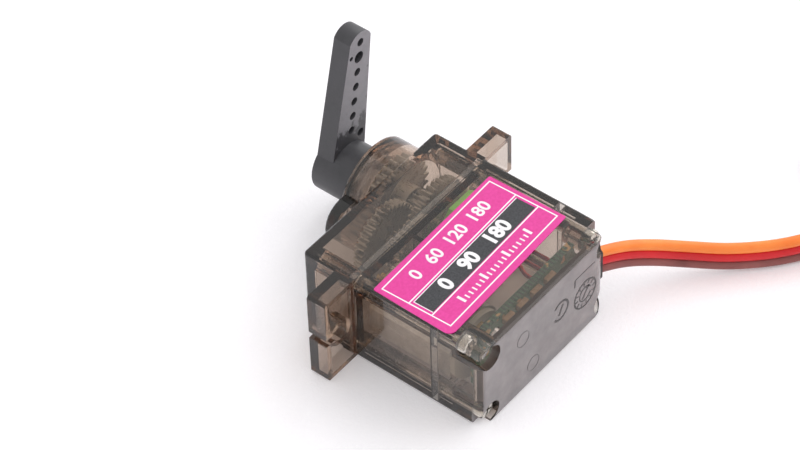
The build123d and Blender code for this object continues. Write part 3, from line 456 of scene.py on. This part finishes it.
END_FACE = -17.3
MARK_PROUD = 0.02
MARK_THICK = 0.03
ARC_STEP = 12           # degrees in one short bar of a curved stroke
DIAL = (6.6, 5.9)       # places on the end face are (x, z)
DIAL_RIM = 1.9
DIAL_RING = 1.0
DIAL_TICKS = (12, 8, 1.3, 1.75)     # count, first angle, inner and outer radius
DIAL_ARROW = [(-0.5, -0.6), (0.65, 0.85), (0.1, 0.75)]      # from the dial's middle
HOOK = (2.2, 7.0)
HOOK_R = 1.3
HOOK_BAR = ((1.9, 6.4), (2.6, 7.7))
INSERT_LINE = [(8.2, 9.5), (4.7, 9.5), (4.7, 8.4)]
EJECTORS = [(-4.4, 8.3), (-2.6, 2.9)]
EJECTOR_R = 1.0


def stroke(shape, start, end, width):
    """A thin bar on the end face between two (x, z) points, in millimetres."""
    a, b = Vector(start), Vector(end)
    side = (b - a).orthogonal().normalized() * width / 2
    front = [Vector((p.x, END_FACE - MARK_PROUD, p.y)) for p in (a - side, a + side, b + side, b - side)]
    back = [p + Vector((0, MARK_PROUD + MARK_THICK, 0)) for p in front]
    verts = [shape.verts.new(p * MM) for p in front + back]
    for face in ((0, 1, 2, 3), (7, 6, 5, 4), (0, 4, 5, 1), (1, 5, 6, 2), (2, 6, 7, 3), (3, 7, 4, 0)):
        shape.faces.new([verts[i] for i in face])


def arc(shape, centre, radius, first, last, width):
    """A curved stroke made of short bars; the angles are in degrees."""
    steps = round((last - first) / ARC_STEP)
    points = []
    for k in range(steps + 1):
        angle = radians(first + (last - first) * k / steps)
        points.append((centre[0] + radius * cos(angle), centre[1] + radius * sin(angle)))
    for a, b in zip(points, points[1:]):
        stroke(shape, a, b, width)


def make_mould_marks(surface):
    shape = bmesh.new()
    arc(shape, DIAL, DIAL_RIM, 0, 360, width=0.22)
    arc(shape, DIAL, DIAL_RING, 20, 340, width=0.17)
    arc(shape, HOOK, HOOK_R, 220, 500, width=0.28)
    stroke(shape, *HOOK_BAR, width=0.3)
    count, first, inner, outer = DIAL_TICKS
    middle = Vector(DIAL)
    for k in range(count):
        angle = radians(360 * k / count + first)
        out = Vector((cos(angle), sin(angle)))
        stroke(shape, middle + inner * out, middle + outer * out, width=0.16)
    tail, tip, barb = [middle + Vector(place) for place in DIAL_ARROW]
    stroke(shape, tail, tip, width=0.25)
    stroke(shape, tip, barb, width=0.18)
    # outline of the mould insert beside the dial
    far, corner, near = INSERT_LINE
    stroke(shape, corner, far, width=0.1)
    stroke(shape, corner, near, width=0.2)
    for place in EJECTORS:
        arc(shape, place, EJECTOR_R, 0, 360, width=0.05)
    bmesh.ops.recalc_face_normals(shape, faces=shape.faces[:])
    piece = piece_from("mould_marks", shape, surface)


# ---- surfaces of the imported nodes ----

def cover(node, surface):
    o = NODES[node]
    o.data.materials.clear()
    o.data.materials.append(surface)


def weld(node):
    """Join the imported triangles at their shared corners, for the modifiers that follow."""
    o = NODES[node]
    joined = o.modifiers.new("weld", "WELD")
    joined.merge_threshold = 0.001 * MM
    return o


def bevel(node, width):
    """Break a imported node's sharp edges, without changing its mesh."""
    o = weld(node)
    edge = o.modifiers.new("bevel", "BEVEL")
    edge.width = width * MM
    edge.segments = 2
    edge.limit_method = "ANGLE"
    edge.angle_limit = radians(40)
    edge.harden_normals = True


def swell(node, amount):
    """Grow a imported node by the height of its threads, which bite into the plastic around it."""
    o = weld(node)
    grow = o.modifiers.new("swell", "DISPLACE")
    grow.strength = amount * MM
    grow.mid_level = 0.0


def gear_material():
    s = Surface("gear_metal")
    streak = s.noise(5.0, 4.0, stretch=(1, 0.15, 1))
    grease = s.ramp(s.noise(0.8, 3.0), 0.0, 1.0, 0.52, 0.66)
    s.set(Base_Color=s.mix(grease, (0.46, 0.43, 0.38), (0.20, 0.17, 0.13)), Metallic=1.0,
          Roughness=s.ramp(streak, 0.22, 0.45))
    s.bump(streak, 0.003)
    return s.material


def board_material():
    """Dark green solder mask with paler traces under it and bare gilt pads."""
    s = Surface("board")
    flat = s.add("ShaderNodeMapping")
    flat.inputs["Rotation"].default_value = (radians(90), 0, 0)
    s.link(s.place, flat.inputs["Vector"])
    cells = s.add("ShaderNodeTexBrick", offset=0.3)
    s.link(flat.outputs["Vector"], cells.inputs["Vector"])
    cells.inputs["Scale"].default_value = 0.9
    cells.inputs["Mortar Size"].default_value = 0.12
    mask = s.mix(cells.outputs["Fac"], (0.012, 0.05, 0.026), (0.035, 0.12, 0.06))
    pads = s.ramp(s.noise(0.9, 1.0, source=flat.outputs["Vector"]), 0.0, 1.0, 0.62, 0.66)
    s.set(Base_Color=s.mix(pads, mask, (0.55, 0.36, 0.16)), Roughness=s.ramp(s.noise(2.0), 0.25, 0.4),
          Metallic=pads, Coat_Weight=0.4)
    s.bump(cells.outputs["Fac"], 0.02, 0.6)
    return s.material


HUB_SHADE_Z = (9.0, 13.5)   # the painted shade near the hub fades out between these heights at rest


def horn_material():
    """Black nylon: satin, with pale scuffs. The arm's flat faces are painted paler as a painted reflection
    of the bright floor, and darker near the hub as painted shade."""
    s = Surface("nylon_black")
    patch = s.noise(0.35, 5.0, 0.65)
    scratch = s.noise(2.2, 6.0, 0.75, stretch=(3.0, 1.0, 0.6))
    worn = s.ramp(scratch, 0.0, 0.8, 0.64, 0.78)
    tone = s.mix(s.ramp(patch, 0.0, 1.0), (0.03, 0.03, 0.034), (0.052, 0.05, 0.057))
    facing = s.add("ShaderNodeSeparateXYZ")
    s.link(s.coordinates.outputs["Normal"], facing.inputs[0])
    flat = s.math("GREATER_THAN", s.math("ABSOLUTE", facing.outputs["Y"]), 0.8)
    height = s.add("ShaderNodeSeparateXYZ")
    s.link(s.place, height.inputs[0])
    # Painted shade: the arm's flat faces darken towards the hub, where they would mirror the dark hub and
    # body.
    near_hub = s.ramp(height.outputs["Z"], 0.3, 0.0, *HUB_SHADE_Z)
    hub_shade = s.math("ADD", s.noise(0.7, 6.0, 0.7, stretch=(1.0, 1.0, 0.6)), near_hub)
    # Painted reflection: away from that shade the flat faces take a pale tone, standing in for the bright
    # floor they mirror.
    floor_reflection = s.ramp(hub_shade, 1.0, 0.0, 0.6, 0.68)
    pale = s.mix(s.ramp(patch, 0.0, 1.0), (0.16, 0.155, 0.17), (0.25, 0.242, 0.262))
    base = s.mix(s.math("MULTIPLY", flat, floor_reflection), tone, pale)
    s.set(Base_Color=s.mix(worn, base, (0.11, 0.11, 0.125)), Roughness=s.ramp(patch, 0.32, 0.52),
          Specular_IOR_Level=0.6)
    s.bump(s.noise(9.0, 4.0), 0.008)
    return s.material


def core_material():
    """Stack of stamped sheets, seen as fine lines across the rotor's axis."""
    s = Surface("lamination")
    lines = s.add("ShaderNodeTexWave", bands_direction="Y")
    s.link(s.place, lines.inputs["Vector"])
    lines.inputs["Scale"].default_value = 1.4
    s.set(Base_Color=s.mix(lines.outputs["Fac"], (0.12, 0.12, 0.13), (0.4, 0.4, 0.42)), Metallic=1.0,
          Roughness=s.ramp(s.noise(4.0), 0.3, 0.5))
    s.bump(lines.outputs["Fac"], 0.02)
    return s.material


def winding_material():
    """Enamelled copper wire, wound side by side."""
    s = Surface("copper")
    lines = s.add("ShaderNodeTexWave", bands_direction="DIAGONAL")
    s.link(s.place, lines.inputs["Vector"])
    lines.inputs["Scale"].default_value = 2.2
    lines.inputs["Distortion"].default_value = 0.6
    s.set(Base_Color=s.mix(lines.outputs["Fac"], (0.30, 0.09, 0.03), (0.75, 0.32, 0.14)), Metallic=1.0,
          Roughness=s.ramp(s.noise(5.0), 0.25, 0.4))
    s.bump(lines.outputs["Fac"], 0.04)
    return s.material


def wire_material(name, dark, light):
    s = Surface(name)
    tone = s.ramp(s.noise(0.25, 3.0), 0.0, 1.0)
    s.set(Base_Color=s.mix(tone, dark, light), Roughness=s.ramp(s.noise(1.2, 3.0), 0.34, 0.46),
          Subsurface_Weight=0.15, Subsurface_Radius=(0.001, 0.0006, 0.0004), Subsurface_Scale=0.5,
          Specular_IOR_Level=0.45)
    s.bump(s.noise(1.6, 3.0), 0.01, 0.6)
    return s.material


def paint_nodes():
    """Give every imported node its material, and return the one that the red wire shares."""
    warm = (0.55, 0.36, 0.20)
    cover("gearbox_cover", smoke("smoke_plastic", 600.0, warm))
    cover("middle_case", smoke("smoke_middle", 520.0, warm))
    cover("bottom_cover", smoke("smoke_bottom", 560.0, (0.52, 0.39, 0.28), end_haze=0.52))
    cover("label", label_material())
    steel = metal("nickel_steel", (0.40, 0.385, 0.365), (0.62, 0.60, 0.57), 0.22, depth=0.004)
    drawn = metal("drawn_steel", (0.5, 0.47, 0.42), (0.72, 0.69, 0.63), 0.34, (1, 0.1, 1))
    ground = metal("ground_steel", (0.6, 0.6, 0.62), (0.8, 0.8, 0.82), 0.16, (1, 6, 1), 0.0008)
    brass = metal("brass", (0.62, 0.42, 0.14), (0.83, 0.62, 0.27), 0.26)
    bronze = metal("bronze", (0.35, 0.2, 0.1), (0.55, 0.36, 0.2), 0.4)
    tin = metal("solder", (0.55, 0.55, 0.56), (0.8, 0.8, 0.82), 0.22, depth=0.01, scale=1.5)
    gears = gear_material()
    copper = winding_material()
    red = wire_material("wire_red", (0.60, 0.006, 0.012), (0.72, 0.012, 0.02))
    surfaces = {
        metal("zinc_plate", (0.55, 0.52, 0.47), (0.72, 0.69, 0.63), 0.16, depth=0.001): ("case_screws",),
        steel: ("horn_screw", "pot_terminals", "spacer_washers"),
        drawn: ("motor_can", "gear_pin", "motor_shaft"),
        ground: ("bearing_outer_ring", "bearing_inner_ring", "bearing_balls", "pot_shaft"),
        brass: ("motor_terminals", "motor_brushes", "motor_pinion", "pot_wiper", "ball_cage", "plug_contacts"),
        bronze: ("motor_bushes",),
        tin: ("solder_joints",),
        gears: ("first_gear", "second_gear", "third_gear", "output_gear"),
        copper: ("armature_windings", "commutator"),
        red: ("pot_wires", "lead_ends"),
        core_material(): ("armature_core",),
        board_material(): ("circuit_board",),
        horn_material(): ("horn",),
        moulded("pale_nylon", (0.62, 0.58, 0.48), (0.74, 0.7, 0.6)): ("motor_end_cap",),
        moulded("ferrite", (0.02, 0.02, 0.022), (0.05, 0.05, 0.055), 0.6, depth=0.02): ("motor_magnets",),
        moulded("green_plastic", (0.32, 0.95, 0.12), (0.42, 1.0, 0.2), 0.4): ("pot_housing",),
        moulded("phenolic", (0.09, 0.045, 0.02), (0.16, 0.08, 0.04), 0.5): ("pot_base",),
        moulded("chip_black", (0.012, 0.012, 0.014), (0.03, 0.03, 0.034), 0.5): ("control_chip",),
        moulded("component_tan", (0.28, 0.17, 0.09), (0.45, 0.3, 0.17), 0.4, 4.0): ("small_components",),
        moulded("rubber", (0.015, 0.015, 0.016), (0.03, 0.03, 0.032), 0.6): ("cable_grommet",),
        moulded("plug_black", (0.012, 0.012, 0.013), (0.028, 0.028, 0.03), 0.42): ("plug_housing",),
    }
    for surface, names in surfaces.items():
        for name in names:
            cover(name, surface)
    bevel("horn", 0.1)
    bevel("plug_housing", 0.06)
    swell("case_screws", 0.09)
    return red


# ---- coil tie ----

TIE_HALF = 1.1          # half of the band's width
TIE_THICK = 0.3
TIE_SPAN = (2.45, 9.75)     # from the coil's eye to outside its turns
TIE_TOP = 4.55
TIE_CORNER = 0.55
TIE_FLOOR_GAP = 0.02
CORNER_STEPS = 6


def make_tie(surface):
    """Soft band through the coil's eye, round its turns, with both ends pressed together."""
    low, high = TIE_THICK + TIE_FLOOR_GAP, TIE_TOP - TIE_THICK
    inner, outer = TIE_SPAN
    ring = []
    radius = TIE_CORNER
    centres = [(outer - radius, high - radius, 0), (inner + radius, high - radius, 90),
               (inner + radius, low + radius, 180), (outer - radius, low + radius, 270)]
    for x, z, start in centres:
        for k in range(CORNER_STEPS + 1):
            angle = radians(start + 90 * k / CORNER_STEPS)
            ring.append((x + radius * cos(angle), z + radius * sin(angle)))
    direction = radians(ARM_IN[1]) - 2 * pi * (ARM_IN[0] - COIL_EYE) / (2 * COIL_STEP)
    out = Vector((cos(direction), sin(direction), 0))
    side = Vector((-sin(direction), cos(direction), 0))
    centre = Vector((*COIL_CENTRE, 0))
    shape = bmesh.new()
    loops = []
    for x, z in ring:
        loops.append([shape.verts.new((centre + out * x + side * s * TIE_HALF + Vector((0, 0, z))) * MM)
                      for s in (-1.0, -0.5, 0.5, 1.0)])
    for k, loop in enumerate(loops):
        after = loops[(k + 1) % len(loops)]
        for i in range(3):
            shape.faces.new((loop[i], loop[i + 1], after[i + 1], after[i]))
    bmesh.ops.recalc_face_normals(shape, faces=shape.faces[:])
    piece = piece_from("coil_band", shape, surface)
    thick = piece.modifiers.new("thickness", "SOLIDIFY")
    thick.thickness = TIE_THICK * MM
    thick.offset = 1.0
    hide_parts("coil_tie")
    return piece


# ---- stage, in metres and watts ----

FLOOR_HALF = 3.0
FLOOR_Z = -0.00003
FLOOR_GLOW = 0.16       # stands in for white walls round the table
KEY_PLACE = (0.82, -0.22, 0.55)
KEY_SIZE = 1.4
KEY_POWER = 7.0
WORLD_STRENGTH = 0.91


def make_floor():
    """White sheet with a fine sparkle."""
    shape = bmesh.new()
    around = ((-1, -1), (1, -1), (1, 1), (-1, 1))
    shape.faces.new([shape.verts.new((x * FLOOR_HALF, y * FLOOR_HALF, FLOOR_Z)) for x, y in around])
    mesh = bpy.data.meshes.new("floor")
    shape.to_mesh(mesh)
    shape.free()
    s = Surface("floor_sheet")
    grain = s.noise(2.4, 3.0, 0.6)
    glint = s.ramp(s.noise(3.2, 2.0), 0.0, 1.0, 0.6, 0.75)
    s.set(Base_Color=s.mix(glint, (0.885, 0.87, 0.90), (1.0, 1.0, 1.0)), Roughness=s.ramp(grain, 0.4, 0.62),
          Emission_Color=(1.0, 0.985, 1.0, 1.0), Emission_Strength=FLOOR_GLOW)
    s.bump(grain, 0.1, 0.5)
    mesh.materials.append(s.material)
    floor_sheet = bpy.data.objects.new("floor", mesh)
    bpy.context.scene.collection.objects.link(floor_sheet)


def make_lights():
    world = bpy.data.worlds.new("studio")
    world.use_nodes = True
    world.node_tree.nodes["Background"].inputs["Color"].default_value = (1.0, 1.0, 1.0, 1.0)
    world.node_tree.nodes["Background"].inputs["Strength"].default_value = WORLD_STRENGTH
    bpy.context.scene.world = world
    data = bpy.data.lights.new("key", "AREA")
    data.shape = "DISK"
    data.size = KEY_SIZE
    data.energy = KEY_POWER
    key = bpy.data.objects.new("key", data)
    key.location = KEY_PLACE
    key.rotation_euler = (-Vector(KEY_PLACE)).to_track_quat("-Z", "Y").to_euler()
    bpy.context.scene.collection.objects.link(key)


make_camera()
bpy.context.scene.view_settings.view_transform = "Standard"
red_plastic = paint_nodes()
tie = make_tie(moulded("tie_black", (0.012, 0.012, 0.013), (0.03, 0.03, 0.033), 0.5))
orange_plastic = wire_material("wire_orange", (0.90, 0.20, 0.025), (1.0, 0.29, 0.05))
brown_plastic = wire_material("wire_brown", (0.20, 0.055, 0.05), (0.32, 0.10, 0.09))
make_wire("signal_wire", 1, orange_plastic)
power = make_wire("power_wire", 0, red_plastic)
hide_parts("lead_coil")
make_wire("ground_wire", -1, brown_plastic)
make_label_print()
make_mould_marks(moulded("mark_shade", (0.02, 0.017, 0.017), (0.06, 0.05, 0.05), 0.4))
make_floor()
make_lights()
